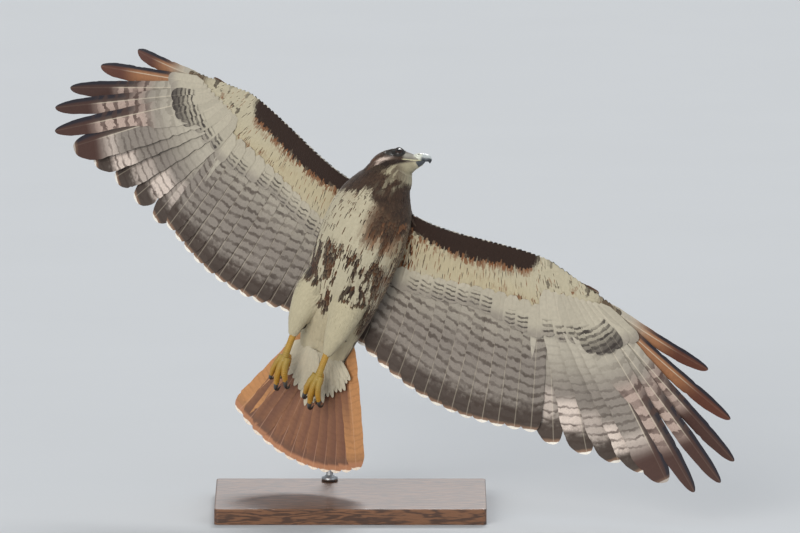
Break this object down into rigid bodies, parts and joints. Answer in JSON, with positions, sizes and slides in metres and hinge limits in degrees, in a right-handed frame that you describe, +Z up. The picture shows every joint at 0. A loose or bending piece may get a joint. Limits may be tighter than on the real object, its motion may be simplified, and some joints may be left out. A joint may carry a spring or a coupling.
{
  "type": "red tailed hawk model",
  "caption": "Life size red tailed hawk soaring with its wings spread and its tail fanned, banked on a flat display base with a bent rod behind it.",
  "frame": {"origin": "middle of the underside of the stand's base", "axes": "+Z up, +X to the side of the bird's left wing, -Y towards a viewer who sees the bird's underside"},
  "size_m": [0.9592, 0.5974, 0.6096],
  "materials": {
    "plumage": "matt barred and streaked feathers, cream, brown and rufous",
    "eye": "wet and dark brown",
    "bill": "satin horn, dark slate with a pale base",
    "leg": "scaled yellow skin",
    "claw": "black horn",
    "base_wood": "oiled, fine grain",
    "rod_steel": "brushed"
  },
  "bodies": {
    "root": {"trunk": "plumage", "neck": "plumage", "head": "plumage", "tail": "plumage", "thigh_left": "plumage", "thigh_right": "plumage", "wing_left_arm": "plumage", "wing_left_hand": "plumage", "wing_left_alula": "plumage", "wing_left_primaries": "plumage", "wing_left_secondaries": "plumage", "wing_right_arm": "plumage", "wing_right_hand": "plumage", "wing_right_alula": "plumage", "wing_right_primaries": "plumage", "wing_right_secondaries": "plumage", "eye_left": "eye", "eye_right": "eye", "bill_upper": "bill", "bill_lower": "bill", "shank_left": "leg", "shank_right": "leg", "foot_left": "leg", "foot_right": "leg", "claw_left_inner": "claw", "claw_left_middle": "claw", "claw_left_outer": "claw", "claw_left_hind": "claw", "claw_right_inner": "claw", "claw_right_middle": "claw", "claw_right_outer": "claw", "claw_right_hind": "claw", "stand_base": "base_wood", "stand_rod": "rod_steel"}
  },
  "joints": []
}
